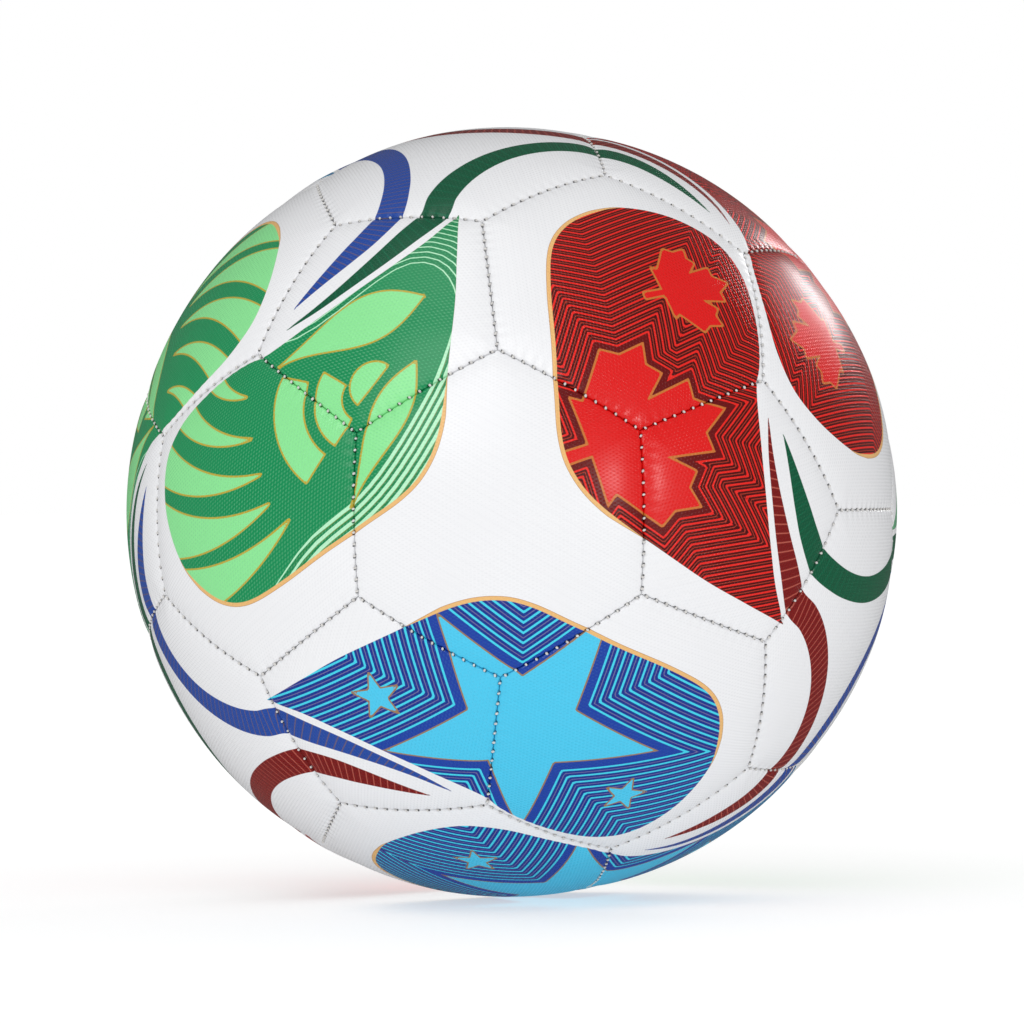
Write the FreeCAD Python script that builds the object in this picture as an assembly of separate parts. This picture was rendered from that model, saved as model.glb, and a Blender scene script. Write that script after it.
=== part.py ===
"""Stitched soccer ball: 32 cover panels over an air bladder with a replaceable valve plug.

The ball is a truncated icosahedron blown up to a sphere. Its frame has the origin at the ball's centre,
+Z up, and the valve on the +Y side. A white hexagon faces -Y, with one corner pointing up.
Every panel is a shallow tray: a skin whose rim is folded in along the seams, a foam pad and a lining.
The folded rims of two neighbours lie face to face and are sewn together through a row of holes.
"""
import FreeCAD, Part
import os
from math import asin, cos, degrees, pi, sin, sqrt, tan

Vector = FreeCAD.Vector

# Driving dimensions, in millimetres.
BALL_RADIUS = 110.0          # over the crown of a panel; 691 mm round, a full-size match ball
SKIN_THICKNESS = 1.2         # outer cover sheet
FOAM_THICKNESS = 2.5
LINING_THICKNESS = 0.8       # woven backing under the foam
SEAM_GAP = 0.10              # between the folded rims of two neighbours
LAYER_GAP = 0.05             # between a pad and the rim round it
EDGE_ROUND = 1.5             # roll of the skin into the seam
THREAD_DIAMETER = 0.8
STITCH_DIAMETER = 0.6        # where the thread is pulled tight through both rims
HOLE_CLEARANCE = 0.08        # all round a stitch
STITCH_DEPTH = 2.4           # of the row of holes, below the panel's crown
STITCHES_PER_SEAM = 14
SEAM_END_SHARE = 0.5         # of a stitch pitch, from a seam's corner to its first stitch
BLADDER_GAP = 0.2            # between the linings and the bladder
BLADDER_THICKNESS = 0.8

VALVE_NECK_DIAMETER = 9.0    # rubber neck that shows in the panel
VALVE_HOLE_CLEARANCE = 0.15  # all round the neck
VALVE_RECESS = 0.3           # of the neck's face, below the panel's crown
VALVE_BODY_DIAMETER = 12.0   # the sleeve inside the bladder
VALVE_BODY_LENGTH = 9.0
VALVE_FLANGE_DIAMETER = 24.0
VALVE_FLANGE_THICKNESS = 1.2
PATCH_DIAMETER = 38.0        # disc that reinforces the bladder round the valve
PATCH_THICKNESS = 0.6
PLUG_DIAMETER = 5.0
PLUG_CLEARANCE = 0.03        # all round the plug in its sleeve
PLUG_HEAD_DIAMETER = 6.6
PLUG_HEAD_THICKNESS = 1.6
PLUG_NOSE_LENGTH = 2.0       # tapered end that holds the slit
PLUG_NOSE_DIAMETER = 3.2
NEEDLE_BORE_DIAMETER = 2.0
NEEDLE_BORE_LENGTH = 9.0
SLIT_WIDTH = 1.6
SLIT_GAP = 0.12

COLOURS = ("red", "green", "blue")

# Radii of the layers, from the outside in.
SKIN_INNER = BALL_RADIUS - SKIN_THICKNESS
FOAM_INNER = SKIN_INNER - FOAM_THICKNESS
PANEL_INNER = FOAM_INNER - LINING_THICKNESS
BLADDER_OUTER = PANEL_INNER - BLADDER_GAP
BLADDER_INNER = BLADDER_OUTER - BLADDER_THICKNESS
STITCH_RADIUS = BALL_RADIUS - STITCH_DEPTH
RIM_FACE = SEAM_GAP / 2                       # from a seam's plane to the rim's outer face
RIM_INNER = RIM_FACE + SKIN_THICKNESS         # to the rim's inner face
PAD_FACE = RIM_INNER + THREAD_DIAMETER + 2 * LAYER_GAP

GOLDEN = (1 + sqrt(5)) / 2
CENTRE = Vector(0, 0, 0)
NEARLY = 1.01                # margin when distances are compared with the shortest one


# ---- The layout: where the panels, corners and seams are ----

def cyclic(point, turns):
    """The point with its coordinates moved round by that many places."""
    for _ in range(turns):
        point = Vector(point.z, point.x, point.y)
    return point


def signed(base, signs):
    """The point with each coordinate's sign changed as signs says."""
    return Vector(base.x * signs[0], base.y * signs[1], base.z * signs[2])


EVEN_SIGNS = ((1, 1, 1), (1, -1, -1), (-1, 1, -1), (-1, -1, 1))


def world_axes():
    """The world's X, Y and Z in the solid's own coordinates: a three-fold axis to -Y, a pentagon to +X."""
    front = Vector(1, 1, 1).normalize()
    beside = Vector(0, 1, GOLDEN)
    x_axis = (beside - front * beside.dot(front)).normalize()
    y_axis = front * -1
    return x_axis, y_axis, x_axis.cross(y_axis)


AXES = world_axes()


def to_world(point):
    """A point of the solid's own coordinates as a unit vector in the world's."""
    return Vector(*(point.dot(axis) for axis in AXES)).normalize()


def panel_centres():
    """Name, number of sides and centre of every panel.

    The 12 rotations of a tetrahedron carry the pattern over the ball: changing two signs keeps a
    panel's colour, and moving the coordinates round changes it to the next colour.
    """
    found = []
    pentagon = Vector(0, 1, GOLDEN)
    coloured = Vector(1 / GOLDEN, 0, GOLDEN)
    for number, signs in enumerate(EVEN_SIGNS, 1):
        found.append((f"white_hex_panel_{number}", 6, to_world(signed(Vector(1, 1, 1), signs))))
        found.append((f"band_hex_panel_{number}", 6, to_world(signed(Vector(-1, -1, -1), signs))))
        for turns, colour in enumerate(COLOURS):
            pent = cyclic(signed(pentagon, signs), turns)
            hexa = cyclic(signed(coloured, signs), turns)
            found.append((f"{colour}_pent_panel_{number}", 5, to_world(pent)))
            found.append((f"{colour}_hex_panel_{number}", 6, to_world(hexa)))
    return found


PANELS = panel_centres()
PENTAGONS = [centre for _, sides, centre in PANELS if sides == 5]
VALVE_PANEL = "band_hex_panel_1"              # opposite the front panel, centred on +Y


def corner_points():
    """The 60 corners as unit vectors: a third of the way from each pentagon's centre to the next."""
    touching = NEARLY * min((a - PENTAGONS[0]).Length for a in PENTAGONS[1:])
    found = []
    for a in PENTAGONS:
        for b in PENTAGONS:
            if 0 < (a - b).Length < touching:
                found.append((a * 2 + b).normalize())
    return found


CORNERS = corner_points()
EDGE_CHORD = min((c - CORNERS[0]).Length for c in CORNERS[1:])
SEAM_ANGLE = 2 * asin(EDGE_CHORD / 2)


def seams():
    """The 90 seams as pairs of corners."""
    near = NEARLY * EDGE_CHORD
    return [(a, b) for i, a in enumerate(CORNERS) for b in CORNERS[i + 1:] if (a - b).Length < near]


SEAMS = seams()


def corner_angle(sides):
    """The angle at the ball's centre from a panel's middle to one of its corners."""
    return asin(EDGE_CHORD / 2 / sin(pi / sides))


def frame_at(centre, towards):
    """The placement that carries +Z to centre, and +X to the side where towards lies."""
    x_axis = (towards - centre * towards.dot(centre)).normalize()
    y_axis = centre.cross(x_axis)
    matrix = FreeCAD.Matrix(x_axis.x, y_axis.x, centre.x, 0, x_axis.y, y_axis.y, centre.y, 0,
                            x_axis.z, y_axis.z, centre.z, 0, 0, 0, 0, 1)
    return FreeCAD.Placement(matrix)


def panel_place(centre):
    """The placement of a panel that was made about +Z with a corner over +X."""
    nearest = min(CORNERS, key=lambda corner: (round((corner - centre).Length, 6), -corner.z))
    return frame_at(centre, nearest)


# ---- Panels ----

def wedge(sides, inset):
    """A pyramid with its tip near the ball's centre, whose walls are the panel's seams moved in by inset."""
    reach = 2 * BALL_RADIUS
    spread = tan(corner_angle(sides))
    wall_slope = spread * cos(pi / sides)     # tangent of the angle between the axis and a wall
    tip = inset * sqrt(1 + wall_slope ** 2) / wall_slope
    width = (reach - tip) * spread
    base = [Vector(width * cos(2 * pi * k / sides), width * sin(2 * pi * k / sides), reach)
            for k in range(sides)]
    apex = Vector(0, 0, tip)
    walls = [Part.Face(Part.makePolygon([apex, base[k], base[(k + 1) % sides], apex]))
             for k in range(sides)]
    top = Part.Face(Part.makePolygon(base + [base[0]]))
    return Part.Solid(Part.Shell(walls + [top]))


def layer(sides, outer, inner, inset):
    """A piece of the ball's wall between two radii, inset from the seams."""
    return wedge(sides, inset).common(Part.makeSphere(outer)).cut(Part.makeSphere(inner))


def stitch_angles():
    """Where the stitches are along a seam, as angles from its middle."""
    pitch = SEAM_ANGLE / (STITCHES_PER_SEAM - 1 + 2 * SEAM_END_SHARE)
    first = -SEAM_ANGLE / 2 + SEAM_END_SHARE * pitch
    return [first + k * pitch for k in range(STITCHES_PER_SEAM)]


def stitch_holes(sides):
    """One cutter for all the holes in a panel's rim."""
    radius = STITCH_DIAMETER / 2 + HOLE_CLEARANCE
    reach = RIM_INNER + THREAD_DIAMETER
    lean = corner_angle(sides)
    cutters = []
    for k in range(sides):
        corners = [Vector(sin(lean) * cos(a), sin(lean) * sin(a), cos(lean))
                   for a in (2 * pi * k / sides, 2 * pi * (k + 1) / sides)]
        middle = (corners[0] + corners[1]).normalize()
        along = (corners[1] - corners[0]).normalize()
        across = middle.cross(along)          # points out of the panel or into it; the cutter spans both
        for angle in stitch_angles():
            at = (middle * cos(angle) + along * sin(angle)) * STITCH_RADIUS
            cutters.append(Part.makeCylinder(radius, 2 * reach, at - across * reach, across))
    return Part.makeCompound(cutters)


def rolled_edges(shape):
    """The edges where a panel's outer face meets the walls of its seams."""
    outer = [face for face in shape.Faces
             if isinstance(face.Surface, Part.Sphere) and abs(face.Surface.Radius - BALL_RADIUS) < 1e-6]
    return outer[0].OuterWire.Edges


def skin(sides):
    """The cover sheet of one panel, a tray with its rolled edge and its rim of stitch holes."""
    block = layer(sides, BALL_RADIUS, PANEL_INNER, RIM_FACE)
    block = block.makeFillet(EDGE_ROUND, rolled_edges(block))
    hollow = wedge(sides, RIM_INNER).common(Part.makeSphere(SKIN_INNER))
    return block.cut(hollow).cut(stitch_holes(sides)).Solids[0]


def foam_pad(sides):
    return layer(sides, SKIN_INNER, FOAM_INNER, PAD_FACE)


def lining(sides):
    return layer(sides, FOAM_INNER, PANEL_INNER, RIM_INNER + LAYER_GAP)


def valve_bore(diameter):
    """A cutter along +Z through the panel's middle."""
    return Part.makeCylinder(diameter / 2, BALL_RADIUS, Vector(0, 0, BALL_RADIUS / 2))


# ---- Seam threads ----

def seam_thread():
    """The lockstitch of one seam, about +Z with the seam along X: two runs of thread and the stitches."""
    offset = RIM_INNER + THREAD_DIAMETER / 2
    angles = stitch_angles()
    start, sweep = angles[0], angles[-1] - angles[0]
    pieces = []
    for side in (-1, 1):
        middle = Vector(0, side * offset, 0)
        at = middle + Vector(sin(start), 0, cos(start)) * STITCH_RADIUS
        tangent = Vector(cos(start), 0, -sin(start))
        section = Part.Face(Part.Wire(Part.makeCircle(THREAD_DIAMETER / 2, at, tangent)))
        pieces.append(section.revolve(middle, Vector(0, 1, 0), degrees(sweep)))
        pieces += [Part.makeSphere(THREAD_DIAMETER / 2, middle + Vector(sin(a), 0, cos(a)) * STITCH_RADIUS)
                   for a in (angles[0], angles[-1])]
    for angle in angles:
        at = Vector(sin(angle), 0, cos(angle)) * STITCH_RADIUS
        pieces.append(Part.makeCylinder(STITCH_DIAMETER / 2, 2 * offset, at - Vector(0, offset, 0),
                                        Vector(0, 1, 0)))
    return pieces[0].multiFuse(pieces[1:]).removeSplitter().Solids[0]


def seam_place(seam):
    return frame_at((seam[0] + seam[1]).normalize(), seam[1])


# ---- Bladder and valve, made about +Z ----

NECK_TOP = BALL_RADIUS - VALVE_RECESS
SLEEVE_FLANGE_TOP = BLADDER_INNER - PATCH_THICKNESS
PLUG_TIP = SLEEVE_FLANGE_TOP - VALVE_FLANGE_THICKNESS - VALVE_BODY_LENGTH - PLUG_NOSE_LENGTH / 2


def bladder():
    shell = Part.makeSphere(BLADDER_OUTER).cut(Part.makeSphere(BLADDER_INNER))
    return shell.cut(valve_bore(VALVE_NECK_DIAMETER))


def patch():
    """A disc of the bladder's curve, bonded to its inner face."""
    disc = Part.makeSphere(BLADDER_INNER).cut(Part.makeSphere(BLADDER_INNER - PATCH_THICKNESS))
    disc = disc.common(Part.makeCylinder(PATCH_DIAMETER / 2, BALL_RADIUS, CENTRE))
    return disc.cut(valve_bore(VALVE_NECK_DIAMETER))


def valve_sleeve():
    """The rubber housing: a flange on the patch, a body inside the bladder and a neck out to the cover."""
    flange = Part.makeSphere(SLEEVE_FLANGE_TOP)
    flange = flange.cut(Part.makeSphere(SLEEVE_FLANGE_TOP - VALVE_FLANGE_THICKNESS))
    flange = flange.common(Part.makeCylinder(VALVE_FLANGE_DIAMETER / 2, BALL_RADIUS, CENTRE))
    body_end = SLEEVE_FLANGE_TOP - VALVE_FLANGE_THICKNESS - VALVE_BODY_LENGTH
    body_top = SLEEVE_FLANGE_TOP - VALVE_FLANGE_THICKNESS / 2
    body = Part.makeCylinder(VALVE_BODY_DIAMETER / 2, body_top - body_end, Vector(0, 0, body_end))
    neck = Part.makeCylinder(VALVE_NECK_DIAMETER / 2, NECK_TOP - body_top, Vector(0, 0, body_top))
    sleeve = flange.fuse([body, neck]).removeSplitter()
    bore = Part.makeCylinder(PLUG_DIAMETER / 2 + PLUG_CLEARANCE, BALL_RADIUS, CENTRE)
    seat = Part.makeCylinder(PLUG_HEAD_DIAMETER / 2 + PLUG_CLEARANCE, BALL_RADIUS,
                             Vector(0, 0, NECK_TOP - PLUG_HEAD_THICKNESS - PLUG_CLEARANCE))
    return sleeve.cut(bore).cut(seat).Solids[0]


def valve_plug():
    """The push-in plug: a head flush with the neck, a needle bore and a slit in its tapered nose."""
    nose_top = PLUG_TIP + PLUG_NOSE_LENGTH
    nose = Part.makeCone(PLUG_NOSE_DIAMETER / 2, PLUG_DIAMETER / 2, PLUG_NOSE_LENGTH, Vector(0, 0, PLUG_TIP))
    shank = Part.makeCylinder(PLUG_DIAMETER / 2, NECK_TOP - nose_top, Vector(0, 0, nose_top))
    head = Part.makeCylinder(PLUG_HEAD_DIAMETER / 2, PLUG_HEAD_THICKNESS,
                             Vector(0, 0, NECK_TOP - PLUG_HEAD_THICKNESS))
    bore_end = NECK_TOP - NEEDLE_BORE_LENGTH
    bore = Part.makeCylinder(NEEDLE_BORE_DIAMETER / 2, BALL_RADIUS, Vector(0, 0, bore_end))
    slit = Part.makeBox(SLIT_WIDTH, SLIT_GAP, bore_end - PLUG_TIP + 2 * SLIT_GAP,
                        Vector(-SLIT_WIDTH / 2, -SLIT_GAP / 2, PLUG_TIP - SLIT_GAP))
    return shank.fuse([nose, head]).removeSplitter().cut(bore).cut(slit).Solids[0]


# ---- Output ----

def placed(shape, placement):
    copy = shape.copy()
    copy.transformShape(placement.toMatrix(), True)
    return copy


def save(name, shapes):
    solids = [solid for shape in shapes for solid in shape.Solids]
    whole = solids[0] if len(solids) == 1 else Part.makeCompound(solids)
    volume = sum(solid.Volume for solid in solids)
    print(f"{name}: {len(solids)} solid(s), {volume:.0f} mm3, valid {whole.isValid()}")
    whole.exportStep(f"parts/{name}.step")


def main():
    os.makedirs("parts", exist_ok=True)
    skins = {sides: skin(sides) for sides in (5, 6)}
    pads = {"foam_pads": foam_pad, "linings": lining}
    layers = {(kind, sides): make(sides) for kind, make in pads.items() for sides in (5, 6)}
    valve_hole = valve_bore(VALVE_NECK_DIAMETER + 2 * VALVE_HOLE_CLEARANCE)
    groups = {key: [] for key in layers}
    for name, sides, centre in PANELS:
        place = panel_place(centre)
        pierced = name == VALVE_PANEL
        cover = skins[sides].cut(valve_hole) if pierced else skins[sides]
        save(name, [placed(cover, place)])
        for key, shape in layers.items():
            if key[1] == sides:
                piece = shape.cut(valve_hole) if pierced else shape
                groups[key].append(placed(piece, place))
    for (kind, sides), shapes in groups.items():
        save(f"{'pent' if sides == 5 else 'hex'}_{kind}", shapes)

    thread = seam_thread()
    around = NEARLY * 2 * sin(corner_angle(5) / 2)
    between_hexagons = list(SEAMS)
    for name, sides, centre in PANELS:
        if sides == 5:
            ring = [seam for seam in SEAMS if all((corner - centre).Length < around for corner in seam)]
            between_hexagons = [seam for seam in between_hexagons if seam not in ring]
            ring_name = name.replace("panel", "seam_thread")
            save(ring_name, [placed(thread, seam_place(seam)) for seam in ring])
    save("hex_seam_threads", [placed(thread, seam_place(seam)) for seam in between_hexagons])

    valve_place = frame_at(dict((name, centre) for name, _, centre in PANELS)[VALVE_PANEL], Vector(0, 0, 1))
    for name, make in (("bladder", bladder), ("valve_patch", patch), ("valve_sleeve", valve_sleeve),
                       ("valve_plug", valve_plug)):
        save(name, [placed(make(), valve_place)])
    print(f"seam length {SEAM_ANGLE * BALL_RADIUS:.2f} mm, needle bore mouth at y = {NECK_TOP:.2f} mm")


main()
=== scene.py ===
"""A stitched soccer ball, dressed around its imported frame.

Everything is in metres in the frame's own axes: the origin is the ball's centre, +Z is up, the white front
hexagon is on -Y and the valve on +Y. The print is laid out in flat charts, in millimetres.
"""
import bpy
import numpy as np
from mathutils import Matrix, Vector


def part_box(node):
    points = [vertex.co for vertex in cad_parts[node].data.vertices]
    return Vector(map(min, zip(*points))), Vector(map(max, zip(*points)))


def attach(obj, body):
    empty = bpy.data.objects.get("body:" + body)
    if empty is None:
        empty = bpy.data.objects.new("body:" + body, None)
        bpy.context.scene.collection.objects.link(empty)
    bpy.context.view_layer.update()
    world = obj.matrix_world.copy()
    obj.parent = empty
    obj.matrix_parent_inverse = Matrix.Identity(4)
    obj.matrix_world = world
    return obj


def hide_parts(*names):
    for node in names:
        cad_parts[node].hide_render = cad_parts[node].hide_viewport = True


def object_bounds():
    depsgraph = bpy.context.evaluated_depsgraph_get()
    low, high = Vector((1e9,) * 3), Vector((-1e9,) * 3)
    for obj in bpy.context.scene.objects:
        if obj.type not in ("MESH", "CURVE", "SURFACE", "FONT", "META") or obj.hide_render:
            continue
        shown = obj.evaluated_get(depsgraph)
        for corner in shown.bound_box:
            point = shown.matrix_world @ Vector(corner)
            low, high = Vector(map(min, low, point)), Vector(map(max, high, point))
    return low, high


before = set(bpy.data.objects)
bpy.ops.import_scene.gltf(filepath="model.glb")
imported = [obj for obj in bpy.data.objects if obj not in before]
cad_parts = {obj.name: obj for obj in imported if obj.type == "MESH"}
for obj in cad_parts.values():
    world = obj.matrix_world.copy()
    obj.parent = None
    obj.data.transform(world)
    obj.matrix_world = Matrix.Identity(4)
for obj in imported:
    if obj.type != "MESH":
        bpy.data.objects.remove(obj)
cad_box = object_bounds()

MM = 0.001

# Sizes in millimetres. The first two come from the frame.
BALL = -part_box("white_hex_panel_1")[0].y / MM          # radius over the crown of a panel
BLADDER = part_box("bladder")[1].x / MM                  # radius of the bladder
NECK_HOLE = 9.3 / 2                                    # radius of the hole round the valve's neck
SKIN = 1.2                                             # thickness of the cover
RIM_END = BLADDER + 0.2                                # radius where the folded rims end
HALF_GAP = 0.05                                        # from a seam's plane to a rim
EDGE_ROLL = 0.8                                        # radius of the skin's roll into the seam
LIP_ROLL = 0.7                                         # radius of the skin's edge at the valve's hole
DIP, DIP_REACH = 0.95, 5.0                             # slow dip of a panel towards its seam
TUCK, TUCK_REACH = 0.32, 1.5                           # pull of each stitch on the skin
WAVE, WAVE_RATE, WAVE_DROP = 0.10, 9.0, 0.6            # the cover's uneven swell: height, pace and drop
STITCHES = 14                                          # per seam
STITCH_LEAN = (24, 9)                                  # degrees off the seam: the usual, and its spread
STITCH_SIZES = (0.92, 1.08)                            # the least and greatest share of BEAD
STITCH_RISE = 0.05                                     # spread of a stitch's depth
THREAD = 0.8                                           # thickness of the runs of thread
LEG_RADIUS = 0.3                                       # of the thread where it is pulled through the rims
THREAD_DEPTH = 2.4                                     # of the runs of thread behind the rims
BEAD = (0.36, 0.48, 0.36)                              # half sizes of a stitch: along, across and up
BEAD_DEPTH = 1.08                                      # of a stitch's middle, under the crown

# How fine the panels are, in millimetres.
FINE_STEP, STEP_GROWTH, STEP = 0.17, 1.3, 0.8
MOST_STEPS = 90                                        # more than any panel needs
INNER_RINGS = (0.6, 0.3)                               # under a panel, as shares of the way to its rim


# ---- The layout of panels, corners and seams ----

GOLDEN = (1 + 5 ** 0.5) / 2
EVEN_SIGNS = ((1, 1, 1), (1, -1, -1), (-1, 1, -1), (-1, -1, 1))
COLOURS = ("red", "green", "blue")
NEIGHBOURS = 1.2                         # the middles of two neighbouring pentagons are closer than this


def unit(vectors):
    return vectors / np.linalg.norm(vectors, axis=-1, keepdims=True)


WHITE_HEX = unit(np.array((1.0, 1.0, 1.0)))
BAND_HEX = -WHITE_HEX
PENTAGON = unit(np.array((0.0, 1.0, GOLDEN)))
COLOUR_HEX = unit(np.array((1 / GOLDEN, 0.0, GOLDEN)))


def world_axes():
    """The world's X, Y and Z in the solid's own coordinates: a white hexagon to -Y, a pentagon to +X."""
    x_axis = unit(PENTAGON - WHITE_HEX * (PENTAGON @ WHITE_HEX))
    return np.array((x_axis, -WHITE_HEX, np.cross(x_axis, -WHITE_HEX)))


AXES = world_axes()


def turned(signs, turns):
    """The world rotation that changes the solid's coordinates by signs, then moves them round by turns."""
    shift = np.roll(np.eye(3), turns, axis=0)
    return AXES @ shift @ np.diag(signs) @ AXES.T


# The 12 turns of a tetrahedron, each with its number, its shift of colour and its rotation.
TURNS = [(number, turns, turned(signs, turns))
         for number, signs in enumerate(EVEN_SIGNS, 1) for turns in range(3)]
FIRST_PENTAGON = AXES @ PENTAGON
PENTAGONS = np.array([rotation @ FIRST_PENTAGON for _, _, rotation in TURNS])


def corner_points():
    """The 60 corners: a third of the way from each pentagon's middle to that of each neighbour."""
    apart = np.linalg.norm(PENTAGONS[:, None] - PENTAGONS[None], axis=2)
    first, second = np.nonzero((apart > 0) & (apart < NEIGHBOURS))
    return unit(2 * PENTAGONS[first] + PENTAGONS[second])


CORNERS = corner_points()
EDGE_CHORD = np.sort(np.linalg.norm(CORNERS[1:] - CORNERS[0], axis=1))[0]
SEAM_LENGTH = 2 * np.arcsin(EDGE_CHORD / 2) * BALL
PITCH = SEAM_LENGTH / STITCHES


def ring_of_corners(middle, sides):
    """A panel's corners in order, anticlockwise seen from outside, and two axes across its middle."""
    near = CORNERS[np.argsort(-(CORNERS @ middle))[:sides]]
    x_axis = unit(near[0] - middle * (near[0] @ middle))
    y_axis = np.cross(middle, x_axis)
    order = np.argsort(np.arctan2(near @ y_axis, near @ x_axis))
    return near[order], np.array((x_axis, y_axis, middle))


# ---- The print: charts, outlines and distances ----
#
# In this part q stands for points of a flat chart, in millimetres.

def chart(points, middle, x_axis):
    """Flat coordinates in mm about middle: each point keeps its distance from it along the ball, and its
    bearing from x_axis."""
    across = unit(x_axis - middle * (x_axis @ middle))
    up = np.cross(middle, across)
    reach = BALL * np.arccos(np.clip(points @ middle, -1, 1))
    bearing = np.arctan2(points @ up, points @ across)
    return np.stack((reach * np.cos(bearing), reach * np.sin(bearing)), axis=1)


# The blade chart is centred on the corner of a white, a coloured and a five-sided panel. Its x axis
# follows the seam between the last two, and its y axis runs into the coloured hexagon.
BLADE_MIDDLE = AXES @ unit(2 * PENTAGON + np.roll(PENTAGON, 1))
BLADE_SIDE = AXES @ unit(2 * PENTAGON + PENTAGON * (1, -1, 1))
# The band chart is centred on a banded hexagon, and its x axis points to the band's own pentagon.
BAND_MIDDLE = AXES @ (WHITE_HEX * (-1, 1, 1))

# The blade: a bent leaf over a coloured hexagon, a pentagon and one corner of a white hexagon. Its first
# point is its sharp tip.
BLADE = ((26.5, -68), (25, -56), (26, -45), (28.5, -33), (33, -18), (39, -4), (47.5, 7), (54.5, 20),
         (58.8, 33), (57.5, 45), (49, 56), (36, 63.8), (25, 65.4), (14, 64), (5, 58.3), (-3, 46.5),
         (-10.5, 31), (-16.5, 18), (-21, 7), (-22.3, -2), (-20, -12), (-13, -24), (1, -43), (14, -56.5))
# The band: a curved ribbon, each point with its width. It starts beside its own blade, crosses a banded
# hexagon and ends in the next pentagon.
BAND = ((78, -31, 0), (73.2, -20.3, 1.7), (67, -11.5, 3.2), (58.8, -3.2, 5.2), (50, 3.2, 7.0),
        (40, 8.4, 8.4), (32, 8.5, 8.5), (24, 9.8, 8.3), (15.5, 12.5, 7.9), (7, 16.4, 7.6),
        (-1, 21.6, 7.6), (-8.5, 28.2, 8.0), (-14.8, 36.5, 8.6), (-16.8, 45.5, 8.0), (-16.3, 54.5, 6.4),
        (-14.3, 64.5, 3.6), (-11, 76, 0))
BLADE_REACH, BAND_REACH = 92, 92          # how far from its chart's middle each one is worked out
FAR = 50.0                                # stands for any greater distance
CURVE_STEPS, CORE_STEPS = 7, 6            # straight pieces between two points of a smoothed line
EDGE_STRIP = 1.2                          # width of the cream strip on a blade's outer side
STRIP_LINE = ((36.0, 64.0), (-10.0, -28.0))   # the strip thins out where the outline meets this line
STRIP_TAPER = 12.0


def smooth_line(points, steps, loop=False):
    """A Catmull-Rom curve: between two points it blends four neighbours with cubic weights. A loop runs
    on from its last point to its first."""
    points = np.asarray(points, float)
    if loop:
        padded = np.concatenate((points[-1:], points, points[:2]))
    else:
        padded = np.concatenate((2 * points[:1] - points[1:2], points, 2 * points[-1:] - points[-2:-1]))
    t = np.linspace(0, 1, steps, endpoint=False)[None, :, None]
    p0, p1, p2, p3 = (padded[k:len(padded) - 3 + k, None, :] for k in range(4))
    curve = 0.5 * (2 * p1 + (p2 - p0) * t + (2 * p0 - 5 * p1 + 4 * p2 - p3) * t ** 2
                   + (3 * p1 - p0 - 3 * p2 + p3) * t ** 3)
    curve = curve.reshape(-1, points.shape[1])
    return curve if loop else np.concatenate((curve, points[-1:]))


def nearest_on_line(points, line):
    """For each point the distance to a run of straight pieces, the piece it is nearest to, and how far
    along that piece, from 0 to 1."""
    starts, ends = line[:-1, :2], line[1:, :2]
    run = ends - starts
    length2 = np.maximum((run ** 2).sum(1), 1e-9)
    offset = points[:, None] - starts
    t = np.clip((offset * run).sum(2) / length2, 0, 1)
    away = np.linalg.norm(offset - t[..., None] * run, axis=2)
    piece = away.argmin(1)
    rows = np.arange(len(points))
    return away[rows, piece], piece, t[rows, piece]


def inside(points, line):
    """Whether each point is inside a closed line: a ray from it crosses the line an odd number of times."""
    x, y = points[:, :1], points[:, 1:]
    x0, y0, x1, y1 = line[:-1, 0], line[:-1, 1], line[1:, 0], line[1:, 1]
    spans = (y0 > y) != (y1 > y)
    rise = np.where(y1 == y0, 1e-9, y1 - y0)
    return (spans & (x < x0 + (y - y0) * (x1 - x0) / rise)).sum(1) % 2 == 1


# The blade's tip stays sharp, because its curve starts and ends there.
BLADE_LINE = smooth_line(BLADE + BLADE[:1], CURVE_STEPS)
BAND_LINE = smooth_line(BAND, CURVE_STEPS)


def strip_width(q):
    """The cream strip's width: full on the outer side of STRIP_LINE, and thinning out towards it."""
    start, end = np.array(STRIP_LINE)
    run = unit(end - start)
    outer = (q[:, 0] - start[0]) * run[1] - (q[:, 1] - start[1]) * run[0]
    return EDGE_STRIP * np.clip(outer / STRIP_TAPER, 0, 1)


def band_distance(q):
    """Distance to the ribbon's edge, and the place along it."""
    away, piece, t = nearest_on_line(q, BAND_LINE)
    width = BAND_LINE[piece, 2] * (1 - t) + BAND_LINE[piece + 1, 2] * t
    lengths = np.linalg.norm(np.diff(BAND_LINE[:, :2], axis=0), axis=1)
    so_far = np.concatenate(([0], np.cumsum(lengths)))
    return away - width / 2, so_far[piece] + t * lengths[piece]


def closed(outline):
    outline = np.asarray(outline, float)
    return np.concatenate((outline, outline[:1]))


def outline_distance(q, line):
    """Distance to a closed line, less than 0 inside it."""
    away = nearest_on_line(q, line)[0]
    return np.where(inside(q, line), -away, away)


def mitred_distance(q, line):
    """Distance to a closed line whose outer steps keep sharp corners: in the wedge past a corner it is the
    greater of the distances to the two sides that meet there. The line runs anticlockwise."""
    run = unit(np.diff(line, axis=0))
    offset = q[:, None] - line[:-1]
    along = (offset * run).sum(2)
    off = offset[..., 0] * run[:, 1] - offset[..., 1] * run[:, 0]
    past_end = along > np.linalg.norm(np.diff(line, axis=0), axis=1)
    before_off, before_past = np.roll(off, 1, axis=1), np.roll(past_end, 1, axis=1)
    before_run = np.roll(run, 1, axis=0)
    convex = before_run[:, 0] * run[:, 1] > before_run[:, 1] * run[:, 0]
    wedge = np.where(before_past & (along < 0) & convex, np.maximum(off, before_off), FAR).min(1)
    return np.where(inside(q, line), -1, 1) * np.minimum(wedge, nearest_on_line(q, line)[0])


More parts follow.
